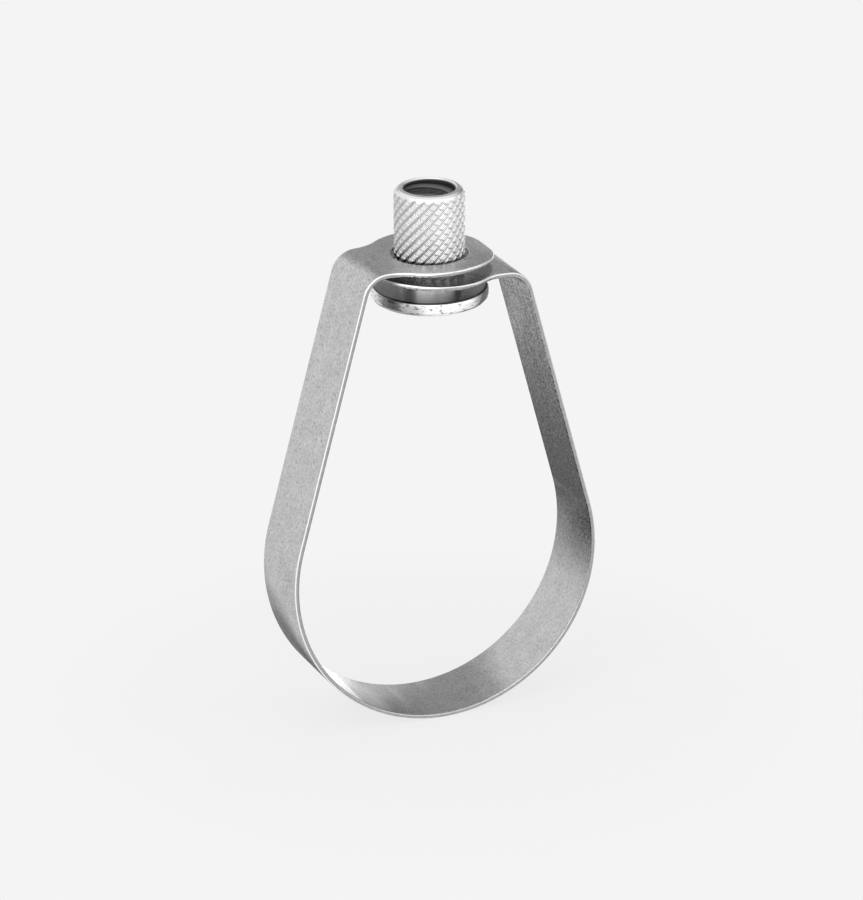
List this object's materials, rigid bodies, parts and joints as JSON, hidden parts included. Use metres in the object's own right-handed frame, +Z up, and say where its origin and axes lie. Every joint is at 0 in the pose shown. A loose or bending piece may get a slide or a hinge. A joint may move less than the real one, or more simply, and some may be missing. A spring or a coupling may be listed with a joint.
{
  "type": "swivel ring hanger",
  "caption": "Teardrop pipe ring bent from sheet strip, hung on a knurled threaded nut that swivels in its lapped tabs.",
  "frame": {"origin": "centre of the pipe that the ring carries", "axes": "+Y along the pipe, +Z up the threaded rod, X across the ring"},
  "size_m": [0.063, 0.0242, 0.1063],
  "materials": {
    "galvanised_strip": "galvanised, lightly speckled, with drawn streaks inside",
    "zinc_plated_nut": "bright zinc plating over a turned and knurled surface"
  },
  "bodies": {
    "nut": {"swivel_nut": "zinc_plated_nut"},
    "ring": {"band": "galvanised_strip"}
  },
  "joints": [
    {"name": "ring_swivel", "type": "hinge", "parent": "nut", "child": "ring", "pos_m": [0, 0, 0.058], "axis": [0, 0, 1], "continuous": true}
  ]
}
